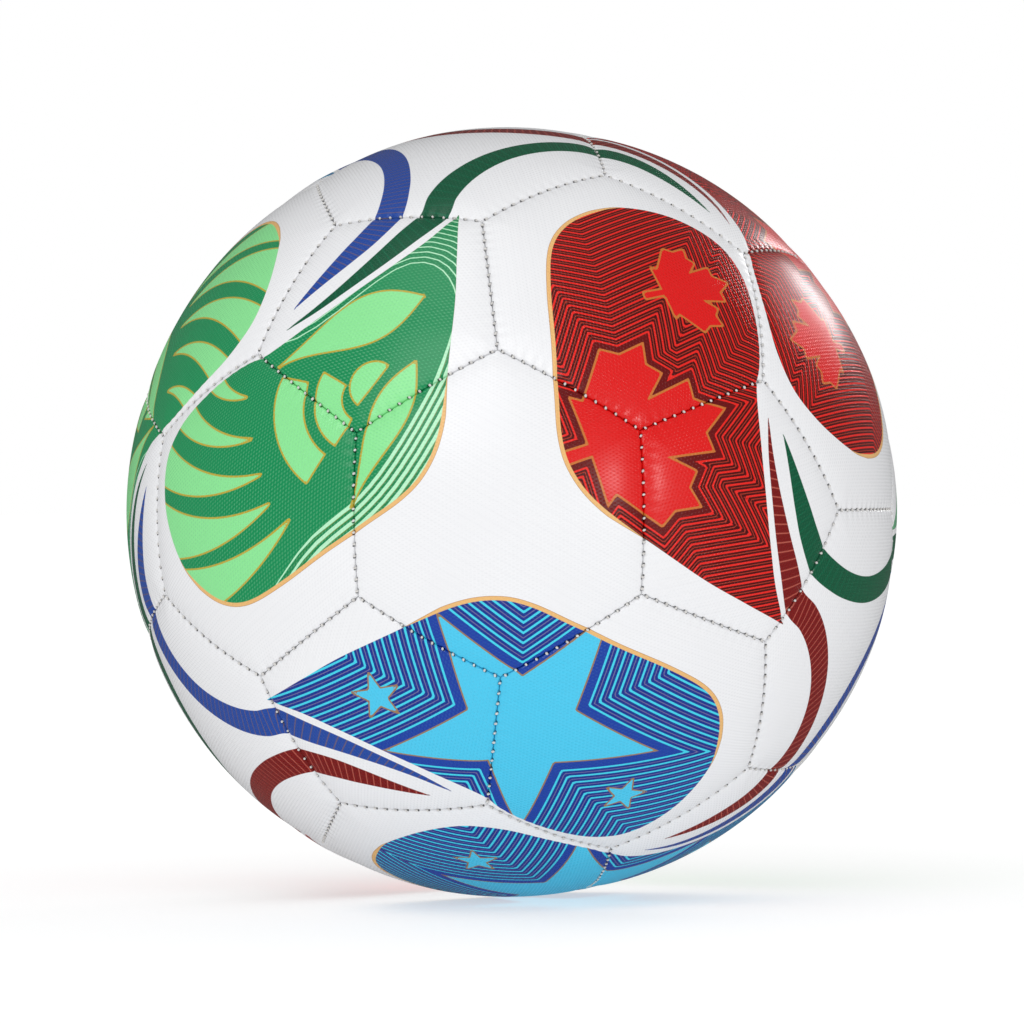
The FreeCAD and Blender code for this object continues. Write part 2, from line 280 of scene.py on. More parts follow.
def placed(outline, middle, size, bearing):
    """An outline of size 1 that points along +x, set at middle and turned to the bearing."""
    turn = np.radians(bearing)
    across = np.array(((np.cos(turn), np.sin(turn)), (-np.sin(turn), np.cos(turn))))
    return np.array(middle) + size * np.asarray(outline, float) @ across


def star(middle, radius, bearing):
    """A five-pointed star: tips and notches by turns. A notch is at sin 18 / sin 54 of the tips' reach."""
    angle = np.radians(bearing + 36 * np.arange(10))
    reach = np.where(np.arange(10) % 2 == 0, 1.0, np.sin(np.radians(18)) / np.sin(np.radians(54)))
    return closed(np.array(middle) + radius * (reach * (np.cos(angle), np.sin(angle))).T)


# Half of a plain toothed leaf with three lobes, from its tip to the foot of its stalk. The other half is
# its mirror image. The blade of the leaf is 1 long and starts at (0, 0).
HALF_LEAF = ((1.0, 0), (0.80, 0.115), (0.81, 0.24), (0.47, 0.19), (0.64, 0.335), (0.56, 0.42), (0.60, 0.555),
             (0.42, 0.53), (0.31, 0.60), (0.07, 0.31), (0.0, 0.36), (0.0, 0.035), (-0.27, 0.04))


def leaf(foot, size, bearing):
    half = np.array(HALF_LEAF)
    return closed(placed(np.concatenate((half, half[:0:-1] * (1, -1))), foot, size, bearing))


def away_from(bearing, offset):
    """How many degrees each offset points away from a bearing, from 0 to 180."""
    turn = np.degrees(np.arctan2(offset[:, 1], offset[:, 0])) - bearing
    return np.abs((turn + 180) % 360 - 180)


def horn(q, tip, bearing, bend, half_angle, length):
    """A curved horn that widens from its tip: its axis swings by bend degrees for each mm."""
    offset = q - np.array(tip)
    reach = np.hypot(offset[:, 0], offset[:, 1])
    off_axis = away_from(bearing + bend * reach, offset)
    return np.maximum(np.radians(off_axis - half_angle) * reach, reach - length)


def arch(q, middle, inner, outer, bearing, half_angle):
    """A piece of a round ring, cut off square at both ends."""
    offset = q - np.array(middle)
    reach = np.hypot(offset[:, 0], offset[:, 1])
    ring = np.maximum(reach - outer, inner - reach)
    return np.maximum(ring, np.radians(away_from(bearing, offset) - half_angle) * reach)


PETAL_SKEW = 1.6                          # over 1 moves a petal's widest place away from its tip


def petal(q, tip, bearing, length, width):
    """A petal along an axis from its tip: at a share s of its length, its half width is half its greatest
    width times the sine of pi s^PETAL_SKEW. The distance is the one across it, shortened by the slope of
    its edge."""
    turn = np.radians(bearing)
    offset = q - np.array(tip)
    along = offset @ (np.cos(turn), np.sin(turn))
    aside = np.abs(offset @ (-np.sin(turn), np.cos(turn)))
    share = np.clip(along / length, 0, 1)
    bulge = np.pi * share ** PETAL_SKEW
    swelling = np.pi * PETAL_SKEW * share ** (PETAL_SKEW - 1) / length
    slope = width / 2 * np.cos(bulge) * swelling
    within = (aside - width / 2 * np.sin(bulge)) / np.sqrt(1 + slope ** 2)
    return np.maximum(within, np.maximum(-along, along - length))


# The green print's fronds: tip, bearing, bend, half angle and length of each horn.
HORNS = (((37, 11), 32, -1.3, 10, 40), ((27, 19), 40, -0.75, 8, 60), ((18, 25), 50, -0.55, 8, 60),
         ((11, 30), 64, -0.5, 10, 60), ((3, 30), 80, -0.45, 9, 60))
# Its arches: middle, inner and outer radius, bearing and half angle.
ARCHES = (((4, -9), 19, 28, 55, 35), ((4, -9), 7, 15, 50, 44), ((4.2, -13), 0, 6.5, 0, 88))
# Its two petals: tip, bearing, length and width.
PETALS = (((34, -1), -120, 46, 15), ((-11, 17), -77, 43, 10))
# Its stripes follow this outline. Inside it the ground is plain.
CORE = ((22, -46), (34, -10), (70, 20), (70, 70), (10, 70), (-5, 30), (-12, 5), (-8, -25), (4, -46))
BOLD_FROM, BOLD_OVER = -3.0, 6.0          # its stripes grow wide across this strip of the chart's x

BIG_LEAF, SMALL_LEAF = leaf((-15.5, 0.3), 42, -5), leaf((27, 33.3), 23.3, -8)
BIG_STAR = star((14.0, 7.0), 39.5, 4.2)
SMALL_STARS = (star((11.5, -33), 7.3, 60), star((39.5, 38.5), 6.5, 20))
CORE_LINE = closed(smooth_line(CORE, CORE_STEPS, loop=True))


def motif_fields(q, colour):
    """Distance to the filled shapes of a colour's print, the distance that its stripes follow, and how
    wide the stripes are, from 0 to 1."""
    if colour == 0:
        big = mitred_distance(q, BIG_LEAF)
        return np.minimum(big, outline_distance(q, SMALL_LEAF)), big, 0
    if colour == 1:
        shapes = [horn(q, *parts) for parts in HORNS]
        shapes += [arch(q, *parts) for parts in ARCHES]
        shapes += [petal(q, *parts) for parts in PETALS]
        bold = np.clip((BOLD_FROM - q[:, 0]) / BOLD_OVER, 0, 1)
        return np.minimum.reduce(shapes), outline_distance(q, CORE_LINE), bold
    big = mitred_distance(q, BIG_STAR)
    small = [outline_distance(q, line) for line in SMALL_STARS]
    return np.minimum.reduce([big] + small), big, 0


FIELDS = ("blade", "hue", "strip", "motif", "stripe", "bold", "band", "band_hue", "band_place")
GROUP = 4000                              # points worked out at once


def groups(q, reach):
    """The numbers of the points within reach of a chart's middle, in groups of a few thousand."""
    near = np.nonzero(np.hypot(q[:, 0], q[:, 1]) < reach)[0]
    return np.array_split(near, max(1, len(near) // GROUP))


def print_fields(points, shift):
    """The printed pattern at points of a panel, for a panel whose colours are moved on by shift. Every
    blade and band is the first one under one of the 12 turns, so each point is turned back to it."""
    found = {name: np.zeros(len(points)) for name in FIELDS}
    for name in ("blade", "motif", "stripe", "band"):
        found[name][:] = FAR
    for _, turns, rotation in TURNS:
        colour = (turns + shift) % 3
        back = points @ rotation
        q = chart(back, BLADE_MIDDLE, BLADE_SIDE)
        for part in groups(q, BLADE_REACH):
            away = outline_distance(q[part], BLADE_LINE)
            closer = away < found["blade"][part]
            rows, spots = part[closer], q[part][closer]
            found["blade"][rows] = away[closer]
            found["hue"][rows] = colour
            found["strip"][rows] = strip_width(spots)
            found["motif"][rows], found["stripe"][rows], found["bold"][rows] = motif_fields(spots, colour)
        q = chart(back, BAND_MIDDLE, FIRST_PENTAGON)
        for part in groups(q, BAND_REACH):
            away, place = band_distance(q[part])
            closer = away < found["band"][part]
            rows = part[closer]
            found["band"][rows] = away[closer]
            found["band_hue"][rows] = colour
            found["band_place"][rows] = place[closer]
    return found


# ---- Panel meshes ----

def row_places(reach):
    """Fractions from a panel's middle to its seam, for even steps that shrink towards the seam."""
    steps = np.minimum(FINE_STEP * STEP_GROWTH ** np.arange(MOST_STEPS), STEP)
    depth = np.concatenate(([0], np.cumsum(steps)))
    depth = depth[:np.searchsorted(depth, reach) + 1]
    return 1 - depth[::-1] / depth[-1]


def fan(corners, rows):
    """Points and faces that fill a flat polygon, with one square patch for each corner. A patch's point is
    a*(1-b) of the side's middle before the corner, a*b of the corner and (1-a)*b of the side's middle
    after it. Also the numbers of the points round the rim."""
    sides, last = len(corners), len(rows) - 1
    a, b = rows[1:, None, None], rows[None, :, None]
    before = (np.roll(corners, 1, axis=0) + corners)[:, None, None] / 2
    after = (corners + np.roll(corners, -1, axis=0))[:, None, None] / 2
    points = a * (1 - b) * before + a * b * corners[:, None, None] + (1 - a) * b * after
    points = np.concatenate((np.zeros((1, 2)), points.reshape(-1, 2)))
    number = np.zeros((sides, last + 1, last + 1), int)
    number[:, 1:] = 1 + np.arange(sides * last * (last + 1)).reshape(sides, last, last + 1)
    number[:, 0, 1:] = np.roll(number[:, 1:, 0], -1, axis=0)
    faces = np.stack((number[:, :-1, :-1], number[:, 1:, :-1], number[:, 1:, 1:], number[:, :-1, 1:]),
                     axis=-1)
    rim = np.concatenate((number[:, last, :], number[:, last - 1:0:-1, last]), axis=1).ravel()
    return points, faces.reshape(-1, 4), rim


def strip_faces(first, second):
    """Faces between two rings of points with the same count."""
    return np.stack((first, second, np.roll(second, -1), np.roll(first, -1)), axis=1)


def seam_places(points, corners):
    """Distance in mm from each direction to the nearest seam, and its place along it from the middle."""
    ahead = np.roll(corners, -1, axis=0)
    middle, along = unit(corners + ahead), unit(ahead - corners)
    inward = np.cross(middle, along)
    off = BALL * np.arcsin(np.clip(points @ inward.T, -1, 1))
    nearest = off.argmin(1)
    rows = np.arange(len(points))
    place = BALL * np.arctan2(points @ along.T, points @ middle.T)
    return off[rows, nearest], place[rows, nearest]


def sink(off, place):
    """How far the cover lies under its crown: a quarter-round roll at the seam, a dip that fades into the
    panel, and a tuck at each stitch."""
    turn = np.clip(EDGE_ROLL - off, 0, EDGE_ROLL)
    rolled = EDGE_ROLL - np.sqrt(EDGE_ROLL ** 2 - turn ** 2)
    at_stitch = 0.5 - 0.5 * np.cos(2 * np.pi * place / PITCH)
    return rolled + DIP * np.exp(-off / DIP_REACH) + TUCK * np.exp(-off / TUCK_REACH) * at_stitch


SWELLS = np.random.default_rng(7).normal(size=(6, 3)) * WAVE_RATE


def swell(points):
    """The cover's slight unevenness: the mean of six slow sine waves over the ball, dropped so that less
    than 0.02 mm of it stands above the crown."""
    waves = np.sin(points @ SWELLS.T + np.arange(len(SWELLS)))
    return WAVE * (waves.sum(1) / len(SWELLS) - WAVE_DROP)


def add_mesh(name, points, faces, fields=None, vectors=None):
    """A smooth mesh from arrays of points in mm and of faces, with a number or a vector at each point."""
    mesh = bpy.data.meshes.new(name)
    mesh.from_pydata((points * MM).tolist(), [], faces)
    for key, values in (fields or {}).items():
        mesh.attributes.new(key, "FLOAT", "POINT").data.foreach_set("value", values.astype(np.float32))
    for key, values in (vectors or {}).items():
        made = mesh.attributes.new(key, "FLOAT_VECTOR", "POINT")
        made.data.foreach_set("vector", values.astype(np.float32).ravel())
    mesh.polygons.foreach_set("use_smooth", np.ones(len(mesh.polygons), bool))
    mesh.update()
    piece = bpy.data.objects.new(name, mesh)
    bpy.context.scene.collection.objects.link(piece)
    return piece


class Panel:
    """One kind of panel as a folded tray, worked out once and then turned to each of its places. Its
    outer face follows sink, and its rim folds in along the seams. A hole makes it a ring for the valve."""

    def __init__(self, middle, sides, hole=0.0):
        self.corners, self.axes = ring_of_corners(middle, sides)
        flat = (self.corners @ self.axes[:2].T) / (self.corners @ middle)[:, None]
        reach = np.linalg.norm(flat[0] + flat[1]) / 2
        rows = row_places(reach * BALL)
        flat = flat * (1 - HALF_GAP / (reach * BALL))
        points, faces, rim = fan(flat, rows)
        if hole:
            edge = points[rim]
            mouth = unit(edge) * hole / BALL
            points = (mouth + rows[:, None, None] * (edge - mouth)).reshape(-1, 2)
            rings = np.arange(len(points)).reshape(len(rows), -1)
            faces = np.concatenate([strip_faces(a, b) for a, b in zip(rings[:-1], rings[1:])])
            rim = rings[-1]
        self.outer = len(points)
        lean = 1 - SKIN / (reach * BALL)
        under = [(1.0, RIM_END), (lean, RIM_END)]
        under += [(scale, BALL - SKIN) for scale in (lean, *INNER_RINGS)]
        radii = [np.zeros(len(points))]
        previous, count = rim, len(points)
        loops, quads, edge = [points], [faces], points[rim]
        for scale, radius in under:
            ring = np.arange(count, count + len(rim))
            # Round a hole the rings close in on its mouth, which the last of them reaches.
            loops.append(mouth + (edge - mouth) * max(scale * 1.5 - 0.5, 0) if hole else edge * scale)
            radii.append(np.full(len(rim), radius))
            quads.append(strip_faces(previous, ring))
            previous, count = ring, count + len(rim)
        quads = np.concatenate(quads)
        if hole:
            self.faces = quads.tolist() + strip_faces(previous, rings[0]).tolist()
        else:
            loops.append(np.zeros((1, 2)))
            radii.append(np.full(1, BALL - SKIN))
            ends = np.stack((np.full(len(rim), count), np.roll(previous, -1), previous), axis=1)
            self.faces = quads.tolist() + ends.tolist()
        self.flat = np.concatenate(loops)
        self.directions = unit(np.column_stack((self.flat, np.ones(len(self.flat)))) @ self.axes)
        off, place = seam_places(self.directions, self.corners)
        self.seam = {"seam_off": off, "seam_place": place}
        self.radius = np.concatenate(radii)
        top = slice(0, self.outer)
        self.radius[top] = BALL - sink(off[top], place[top])
        if hole:
            from_hole = np.linalg.norm(self.flat[top], axis=1) * BALL - hole
            turn = np.clip(LIP_ROLL - from_hole, 0, LIP_ROLL)
            self.radius[top] -= LIP_ROLL - np.sqrt(LIP_ROLL ** 2 - turn ** 2)
        self.fields = {}

    def place(self, name, rotation, shift, replaced, slot):
        """Adds the panel under one rotation, with its print's colours moved on by shift."""
        if shift not in self.fields:
            self.fields[shift] = print_fields(self.directions, shift)
        directions = self.directions @ rotation.T
        radius = self.radius.copy()
        radius[:self.outer] += swell(directions[:self.outer])
        flat = np.column_stack((self.flat * BALL, np.zeros(len(self.flat))))
        piece = add_mesh(name, directions * radius[:, None], self.faces,
                         {**self.fields[shift], **self.seam}, {"panel_place": flat})
        piece.data.materials.append(COVER)
        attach(piece, "ball")
        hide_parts(replaced)


# ---- Seam stitches and their thread ----

def tube(path, radius, around):
    """A round tube with closed ends along a flat curved path: circles square to the path, joined up."""
    ahead = unit(np.gradient(path, axis=0))
    out = unit(path)
    beside = np.cross(ahead, out)
    angle = 2 * np.pi * np.arange(around) / around
    ring = np.cos(angle)[None, :, None] * beside[:, None] + np.sin(angle)[None, :, None] * out[:, None]
    points = (path[:, None] + radius * ring).reshape(-1, 3)
    number = np.arange(len(points)).reshape(len(path), around)
    faces = [face for a, b in zip(number[:-1], number[1:]) for face in strip_faces(a, b).tolist()]
    return points, faces + [number[0].tolist(), number[-1][::-1].tolist()]


def bead(around=8, along=5):
    """A ball of radius 1: rings at even heights of its angle, and a point at each pole."""
    rise = np.pi * np.arange(1, along) / along
    turn = 2 * np.pi * np.arange(around) / around
    rings = np.stack((np.sin(rise)[:, None] * np.cos(turn), np.sin(rise)[:, None] * np.sin(turn),
                      np.cos(rise)[:, None] + 0 * turn), axis=-1)
    points = np.concatenate((rings.reshape(-1, 3), ((0, 0, 1), (0, 0, -1))))
    number = np.arange((along - 1) * around).reshape(along - 1, around)
    faces = [face for a, b in zip(number[:-1], number[1:]) for face in strip_faces(a, b).tolist()]
    top, base = len(points) - 2, len(points) - 1
    faces += [[top, a, b] for a, b in zip(number[0], np.roll(number[0], -1))]
    faces += [[base, b, a] for a, b in zip(number[-1], np.roll(number[-1], -1))]
    return points, faces


class Parts:
    """Gathers points and faces of many small shapes into one mesh."""

    def __init__(self):
        self.points, self.faces, self.count = [], [], 0

    def add(self, points, faces):
        self.points.append(points)
        self.faces += [[corner + self.count for corner in face] for face in faces]
        self.count += len(points)


STITCH_CHANCE = np.random.default_rng(3)


def stitch_seam(parts, start, end):
    """One seam's lockstitch: a bead in the groove at each stitch, the leg that goes through both rims, and
    the two runs of thread behind the rims."""
    middle, along = unit(start + end), unit(end - start)
    across = np.cross(middle, along)
    places = (np.arange(STITCHES) - (STITCHES - 1) / 2) * PITCH / BALL
    beads, bead_faces = bead()
    depth = BALL - THREAD_DEPTH
    leg_reach = SKIN + THREAD
    for angle in places:
        up = middle * np.cos(angle) + along * np.sin(angle)
        ahead = along * np.cos(angle) - middle * np.sin(angle)
        lean = np.radians(STITCH_CHANCE.normal(*STITCH_LEAN))
        first = ahead * np.cos(lean) + across * np.sin(lean)
        second = across * np.cos(lean) - ahead * np.sin(lean)
        size = STITCH_CHANCE.uniform(*STITCH_SIZES)
        sunk = BALL - BEAD_DEPTH + STITCH_CHANCE.normal(0, STITCH_RISE)
        shape = beads * size * BEAD
        parts.add(up * sunk + shape @ np.array((first, second, up)), bead_faces)
        leg = up * depth + np.linspace(-leg_reach, leg_reach, 3)[:, None] * across
        parts.add(*tube(leg, LEG_RADIUS, 6))
    sweep = np.linspace(places[0], places[-1], 2 * STITCHES)[:, None]
    arc = (middle * np.cos(sweep) + along * np.sin(sweep)) * depth
    for side in (-1, 1):
        parts.add(*tube(arc + side * across * (HALF_GAP + SKIN + THREAD / 2), THREAD / 2, 8))


def add_stitches(name, seams, replaced):
    parts = Parts()
    for start, end in seams:
        stitch_seam(parts, CORNERS[start], CORNERS[end])
    piece = add_mesh(name, np.concatenate(parts.points), parts.faces)
    piece.data.materials.append(THREAD_FINISH)
    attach(piece, "ball")
    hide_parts(replaced)


# ---- Materials ----

def paint(red, green, blue):
    """A colour given as a screen shows it, from 0 to 1, as light: the shader works in light."""
    shown = np.array((red, green, blue))
    light = np.where(shown <= 0.04045, shown / 12.92, ((shown + 0.055) / 1.055) ** 2.4)
    return (*light.tolist(), 1.0)


class Wire:
    """A number on its way through a material. Arithmetic on it adds Math nodes."""

    def __init__(self, finish, socket):
        self.finish, self.socket = finish, socket

    def math(self, operation, *others):
        return self.finish.math(operation, self, *others)

    def __add__(self, other):
        return self.math("ADD", other)

    __radd__ = __add__

    def __sub__(self, other):
        return self.math("SUBTRACT", other)

    def __rsub__(self, other):
        return self.finish.math("SUBTRACT", other, self)

    def __mul__(self, other):
        return self.math("MULTIPLY", other)

    __rmul__ = __mul__

    def __truediv__(self, other):
        return self.math("DIVIDE", other)

    def clamp(self):
        return self.math("MINIMUM", 1.0).math("MAXIMUM", 0.0)

    def below(self, limit, soft=0.12):
        """1 where the value is under the limit, 0 where it is over, with an edge as wide as soft."""
        return ((limit - self) / soft + 0.5).clamp()

    def line(self, middle, width, soft=0.12):
        """1 on a line of that width about the middle value."""
        return (self - middle).math("ABSOLUTE").below(width / 2, soft)


class Finish:
    """A material and the nodes in it."""

    def __init__(self, name):
        self.material = bpy.data.materials.new(name)
        self.material.use_nodes = True
        self.tree = self.material.node_tree
        self.shader = self.tree.nodes["Principled BSDF"]

    def feed(self, socket, value):
        if isinstance(value, Wire):
            self.tree.links.new(value.socket, socket)
        else:
            socket.default_value = value

    def node(self, kind, settings=None, inputs=None, output=0):
        made = self.tree.nodes.new(kind)
        for name, value in (settings or {}).items():
            setattr(made, name, value)
        for name, value in (inputs or {}).items():
            self.feed(made.inputs[name], value)
        return Wire(self, made.outputs[output])

    def math(self, operation, *values):
        return self.node("ShaderNodeMath", {"operation": operation}, dict(enumerate(values)))

    def mix(self, share, first, second, blend="MIX"):
        """A colour between two, or the second laid on the first by another blend."""
        settings = {"data_type": "RGBA", "blend_type": blend}
        return self.node("ShaderNodeMix", settings, {0: share, 6: first, 7: second}, output=2)

    def field(self, name):
        return self.node("ShaderNodeAttribute", {"attribute_name": name}, output=2)

    def vector_field(self, name):
        return self.node("ShaderNodeAttribute", {"attribute_name": name}, output=1)

    def place(self):
        return self.node("ShaderNodeTexCoord", output=3)

    def axes_of(self, vector):
        """The three numbers of a vector."""
        made = self.tree.nodes.new("ShaderNodeSeparateXYZ")
        self.feed(made.inputs[0], vector)
        return [Wire(self, out) for out in made.outputs]

    def noise(self, place, scale, detail=3.0):
        return self.node("ShaderNodeTexNoise", None, {"Vector": place, "Scale": scale, "Detail": detail})

    def relief(self, height, depth):
        """Bump from a height of 0 to 1 that stands for depth metres."""
        return self.node("ShaderNodeBump", None, {"Height": height, "Strength": 1.0, "Distance": depth})

    def finish(self, colour, roughness, normal, **uniform):
        self.feed(self.shader.inputs["Base Color"], colour)
        self.feed(self.shader.inputs["Roughness"], roughness)
        self.feed(self.shader.inputs["Normal"], normal)
        for name, value in uniform.items():
            self.shader.inputs[name.replace("_", " ")].default_value = value
        return self.material


WHITE_COVER = paint(0.955, 0.957, 0.965)
STRIP_CREAM, STRIP_BROWN = paint(0.94, 0.74, 0.47), paint(0.72, 0.50, 0.27)
OUTLINE_GOLD = (paint(0.80, 0.45, 0.18), paint(0.76, 0.66, 0.18), paint(0.62, 0.48, 0.33))
MOTIF = (paint(0.89, 0.04, 0.04), paint(0.56, 0.92, 0.60), paint(0.28, 0.80, 0.95))
GROUND = (paint(0.42, 0.01, 0.02), paint(0.0, 0.56, 0.33), paint(0.05, 0.24, 0.65))
BRIGHT_LINE = (paint(0.93, 0.11, 0.07), paint(0.74, 0.96, 0.80), paint(0.24, 0.84, 0.94))
THIN_LINE = (paint(0.70, 0.20, 0.12), paint(0.44, 0.56, 0.24), paint(0.46, 0.42, 0.62))
DARK_GAP = (paint(0.30, 0.0, 0.01), paint(0.0, 0.53, 0.31), paint(0.04, 0.18, 0.56))
BAND_FILL = (paint(0.48, 0.04, 0.04), paint(0.0, 0.34, 0.22), paint(0.11, 0.28, 0.64))
BAND_LINE_COLOUR = (paint(0.74, 0.36, 0.30), paint(0.0, 0.40, 0.27), paint(0.44, 0.36, 0.42))
# Painted sheen: lighter colours laid on the raised grains of the emboss, per colour.
GRAIN_SHEEN = (paint(1.0, 0.42, 0.34), paint(0.62, 0.94, 0.74), paint(0.60, 0.88, 1.0))
GRAIN_SHEEN_SHARE = (0.05, 0.24, 0.06)         # of that colour on the raised grains, per colour: painted sheen on the grains
# Of the stripes, per colour: where they start, their period, and the widths of the bright and thin lines.
STRIPES = ((2.3, 1.85, 0.56, 0.22), (0.4, 1.9, 0.40, 0.22), (3.0, 2.35, 0.64, 0.24))
BOLD_WIDTH = 0.7                 # what bold stripes add to the bright line
OUTLINE = (0.62, 0.55, 0.45)     # width of the gold outline, per colour
WHITE_LINE = 1.25                # of bare cover between a blade and its band
BAND_LINES = (2.3, 0.3)          # pitch and width of the fine lines across a band
FINE_LINES = (2.6, 0.6, 0.022)   # pitch, width and strength of the faint slanted lines on a bare panel
SEAM_PAINTED_SHADE = 0.12                # how much painted shade darkens the cover in a seam's crease
# The needle hole beside each stitch, painted as a dot of shade because the mesh has no hole: its place in
# the pitch, its distance from the seam, its radius, how soft its edge is, and how dark its painted shade is.
# It is narrower across the seam by the square root of its squash.
PIN_PLACE, PIN_OFF, PIN_RADIUS, PIN_SOFT, PIN_PAINTED_SHADE = 0.36, 0.30, 0.28, 0.16, 0.85
PIN_SQUASH = 1.6
GRAIN = (2.1, 1.1)               # length and width of a cell of the embossed grain


def printed(m, colour, motif, stripe, bold):
    """One colour's print inside a blade: filled shapes with a gold outline, a plain band round them, then
    mitred stripes, each period a bright line, a gap, a thin line and a gap."""
    start, period, bright, thin = STRIPES[colour]
    phase = ((stripe - start) / period).math("FRACT") * period
    wide = bold * BOLD_WIDTH + bright
    stripes = m.mix((phase - wide * 0.5).math("ABSOLUTE").below(wide * 0.5), DARK_GAP[colour],
                    BRIGHT_LINE[colour])
    fine = phase.line((period + bright) / 2, thin, 0.1)
    stripes = m.mix(fine * bold if colour == 1 else fine, stripes, THIN_LINE[colour])
    ground = m.mix(stripe.below(start), stripes, GROUND[colour])
    outlined = m.mix(motif.below(OUTLINE[colour]), ground, OUTLINE_GOLD[colour])
    return m.mix(motif.below(0.0), outlined, MOTIF[colour])


def by_colour(m, hue, values):
    """One of three colours, by a field that is 0, 1 or 2."""
    return m.mix(hue.below(1.5, 0.01), values[2], m.mix(hue.below(0.5, 0.01), values[1], values[0]))


def cover_finish():
    """Embossed, coated cover sheet with its print. The grain is rows of raised grains, each row set off by
    half a grain: the product of two cosines."""
    m = Finish("printed_cover")
    across, up, _ = m.axes_of(m.vector_field("panel_place"))
    row = (across * 0.5 + up * 0.866) * (2 * np.pi / GRAIN[1])
    along = (across * 0.866 - up * 0.5) * (2 * np.pi / GRAIN[0])
    grain = (row.math("COSINE") * along.math("COSINE")).math("MAXIMUM", 0.0)
    cloud = m.noise(m.place(), 60.0)
    speck = m.noise(m.place(), 900.0, 2.0)

    hue, blade, band = m.field("hue"), m.field("blade"), m.field("band")
    motif, stripe, bold = m.field("motif"), m.field("stripe"), m.field("bold")
    print_colour = by_colour(m, hue, [printed(m, colour, motif, stripe, bold) for colour in range(3)])
    share = by_colour(m, hue, [(value, value, value, 1.0) for value in GRAIN_SHEEN_SHARE])
    # painted sheen on the raised grains of the print
    print_colour = m.mix(grain * m.axes_of(share)[0], print_colour, by_colour(m, hue, GRAIN_SHEEN))
    pitch, width, strength = FINE_LINES
    slanted = (across * 0.87 + up * 0.5).math("PINGPONG", pitch / 2).below(width / 2, 0.4)
    white = m.mix(cloud * 0.05 + slanted * strength, WHITE_COVER, paint(0.62, 0.63, 0.68))

    beside_band = 1 - band.below(WHITE_LINE)
    blade_area = blade.below(0.0) * beside_band
    strip = blade.below(m.field("strip")) * beside_band
    edge = m.mix(blade.line(m.field("strip"), 0.25), STRIP_CREAM, STRIP_BROWN)
    colour = m.mix(strip, white, edge)
    colour = m.mix(blade_area, colour, print_colour)

    pitch, width = BAND_LINES
    crossing = (m.field("band_place") + up * 0.22).math("PINGPONG", pitch / 2).below(width / 2, 0.22)
    fill = by_colour(m, m.field("band_hue"), BAND_FILL)
    lined = by_colour(m, m.field("band_hue"), BAND_LINE_COLOUR)
    # painted sheen on the raised grains of the band
    fill = m.mix(grain * 0.05, m.mix(crossing, fill, lined), by_colour(m, m.field("band_hue"), GRAIN_SHEEN))
    colour = m.mix(band.below(0.0), colour, fill)

    off, place = m.field("seam_off"), m.field("seam_place")
    beside = ((place / PITCH).math("FRACT") - PIN_PLACE) * PITCH
    inward = off - PIN_OFF
    pin = (beside * beside + inward * inward * PIN_SQUASH).math("SQRT").below(PIN_RADIUS, PIN_SOFT)
    # painted shade in the crease along each seam, where the cover rolls down into the groove
    colour = m.mix(off.below(0.0, 0.9) * SEAM_PAINTED_SHADE, colour, paint(0.30, 0.30, 0.32), "MULTIPLY")
    # painted shade: a dark dot where each needle hole is, which the mesh does not cut
    colour = m.mix(pin * PIN_PAINTED_SHADE, colour, paint(0.06, 0.06, 0.06))

    flat_near_seam = 1 - off.below(0.5, 1.2)
    embossed = strip.math("MAXIMUM", band.below(0.0)) * 0.75 + 0.25
    height = grain * 0.8 * embossed * flat_near_seam + speck * 0.2
    return m.finish(colour, 0.25 + cloud * 0.10 - grain * 0.05, m.relief(height, 0.00010),
                    Coat_Weight=0.2, Coat_Roughness=0.2, Specular_IOR_Level=0.5)


def thread_finish():
    """Waxed polyester: fine twist from a tight wave, with slight soiling."""
    m = Finish("waxed_thread")
    place = m.place()
    twist = m.node("ShaderNodeTexWave", {"bands_direction": "DIAGONAL"},
                   {"Vector": place, "Scale": 1500.0, "Distortion": 1.2, "Detail": 1.0})
    soil = m.noise(place, 420.0)
    colour = m.mix(soil, paint(0.97, 0.96, 0.94), paint(0.80, 0.79, 0.78))
    colour = m.mix(twist * 0.25, colour, paint(0.66, 0.66, 0.66))
    return m.finish(colour, 0.6, m.relief(twist, 0.00005))


def foam_finish():
    m = Finish("closed_cell_foam")
    place = m.place()
    cells = m.node("ShaderNodeTexVoronoi", None, {"Vector": place, "Scale": 1400.0})
    cloud = m.noise(place, 90.0)
    colour = m.mix(cells, paint(0.95, 0.94, 0.90), paint(0.80, 0.79, 0.74))
    return m.finish(m.mix(cloud * 0.3, colour, paint(0.86, 0.84, 0.76)), 0.9, m.relief(cells, 0.0001))


def woven_finish():
    """Plain weave of the linings: two crossed sets of ribs from cosines of the place."""
    m = Finish("woven_backing")
    place = m.place()
    x, y, z = m.axes_of(place)
    warp = ((x + z * 0.6) * 9000.0).math("COSINE")
    weft = ((y - z * 0.4) * 9000.0).math("COSINE")
    weave = warp.math("MAXIMUM", weft) * 0.5 + 0.5
    cloud = m.noise(place, 120.0)
    colour = m.mix(weave, paint(0.66, 0.64, 0.58), paint(0.90, 0.88, 0.82))
    return m.finish(m.mix(cloud * 0.25, colour, paint(0.78, 0.75, 0.66)), 0.85, m.relief(weave, 0.00012))


def rubber_finish(name, dark, light, roughness):
    """Matt moulded rubber with a fine dusty bloom."""
    m = Finish(name)
    place = m.place()
    bloom = m.noise(place, 260.0, 5.0)
    grit = m.noise(place, 2600.0, 2.0)
    colour = m.mix(bloom, dark, light)
    return m.finish(colour, roughness + bloom * 0.15, m.relief(grit, 0.00004))


def dress(node, material):
    """Gives a carried-over CAD node its material."""
    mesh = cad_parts[node].data
    mesh.materials.clear()
    mesh.materials.append(material)


# ---- The ball ----

COVER = cover_finish()
THREAD_FINISH = thread_finish()

